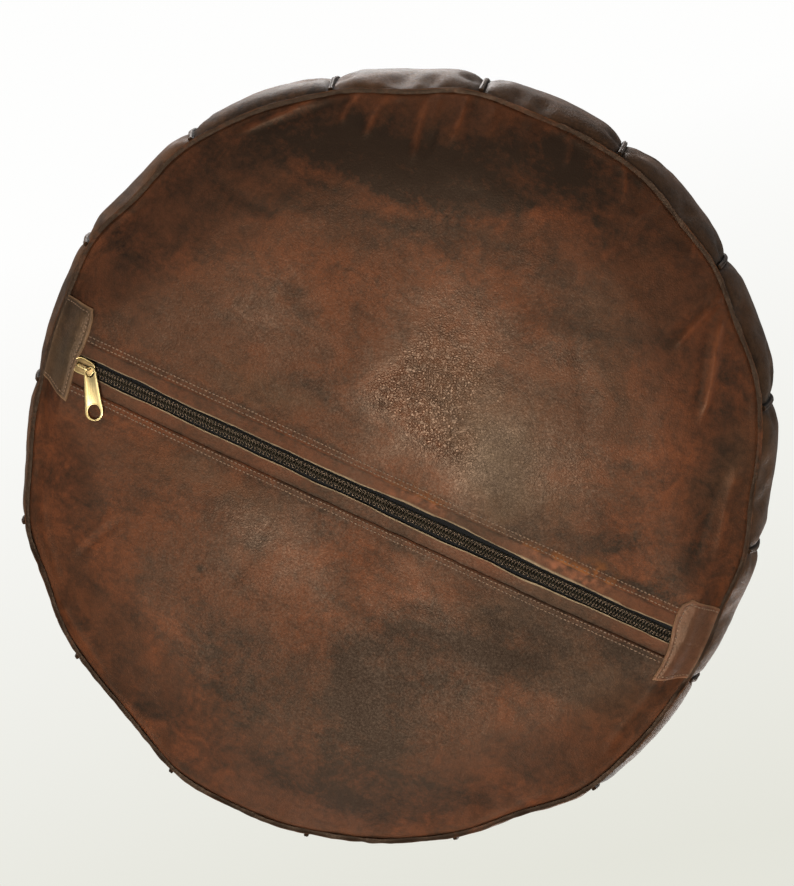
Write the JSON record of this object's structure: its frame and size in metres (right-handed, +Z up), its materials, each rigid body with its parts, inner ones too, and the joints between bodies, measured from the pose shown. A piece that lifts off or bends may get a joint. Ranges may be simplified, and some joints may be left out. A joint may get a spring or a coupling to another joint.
{
  "type": "floor pouf",
  "caption": "Round stuffed leather floor pouf with puffed panels, a raised rib in every seam and a base that opens with a zip.",
  "frame": {"origin": "middle of the base, on the floor that the pouf stands on", "axes": "+Z up through the middle of the top, +X along the zip from its slider to its far end, +Y across the zip"},
  "size_m": [0.5578, 0.5578, 0.3523],
  "materials": {
    "side_leather": "mottled hand-dyed brown leather, soft sheen",
    "top_leather": "mottled hand-dyed brown leather, soft sheen",
    "rib_leather": "dark brown leather, worn lighter on the crest",
    "base_leather": "mottled reddish brown leather with dark patches and fine pebble grain",
    "facing_leather": "smooth reddish brown leather with a raw pale edge",
    "tab_leather_dark": "grey-brown leather, stitched round the edge",
    "tab_leather": "brown leather, stitched round the edge",
    "zip_nylon": "black nylon coil on woven tape",
    "zip_metal": "pale brass, satin with fine lengthwise marks",
    "stuffing": "soft wadding"
  },
  "bodies": {
    "root": {"side_panel_01": "side_leather", "side_panel_02": "side_leather", "side_panel_03": "side_leather", "side_panel_04": "side_leather", "side_panel_05": "side_leather", "side_panel_06": "side_leather", "side_panel_07": "side_leather", "side_panel_08": "side_leather", "side_panel_09": "side_leather", "side_panel_10": "side_leather", "side_panel_11": "side_leather", "side_panel_12": "side_leather", "side_panel_13": "side_leather", "side_panel_14": "side_leather", "side_panel_15": "side_leather", "side_panel_16": "side_leather", "top_panel_01": "top_leather", "top_panel_02": "top_leather", "top_panel_03": "top_leather", "top_panel_04": "top_leather", "top_panel_05": "top_leather", "top_panel_06": "top_leather", "top_panel_07": "top_leather", "top_panel_08": "top_leather", "top_panel_09": "top_leather", "top_panel_10": "top_leather", "top_panel_11": "top_leather", "top_panel_12": "top_leather", "top_panel_13": "top_leather", "top_panel_14": "top_leather", "top_panel_15": "top_leather", "top_panel_16": "top_leather", "rib_01": "rib_leather", "rib_02": "rib_leather", "rib_03": "rib_leather", "rib_04": "rib_leather", "rib_05": "rib_leather", "rib_06": "rib_leather", "rib_07": "rib_leather", "rib_08": "rib_leather", "rib_09": "rib_leather", "rib_10": "rib_leather", "rib_11": "rib_leather", "rib_12": "rib_leather", "rib_13": "rib_leather", "rib_14": "rib_leather", "rib_15": "rib_leather", "rib_16": "rib_leather", "top_medallion": "top_leather", "base_panel_front": "base_leather", "base_panel_rear": "base_leather", "zip_facing_front": "facing_leather", "zip_facing_rear": "facing_leather", "zip_half_front": "zip_nylon", "zip_half_rear": "zip_nylon", "end_tab_slider": "tab_leather_dark", "end_tab_far": "tab_leather", "stuffing": "stuffing"},
    "slider": {"zip_slider": "zip_metal"},
    "pull": {"zip_pull": "zip_metal"}
  },
  "joints": [
    {"name": "zip_travel", "type": "slide", "parent": "root", "child": "slider", "axis": [1, 0, 0], "range_m": [0, 0.41]},
    {"name": "pull_lift", "type": "hinge", "parent": "slider", "child": "pull", "pos_m": [-0.21516, 0.02371, 0.0062], "axis": [-0.8634, 0.5045, 0], "range_deg": [0, 60]}
  ]
}
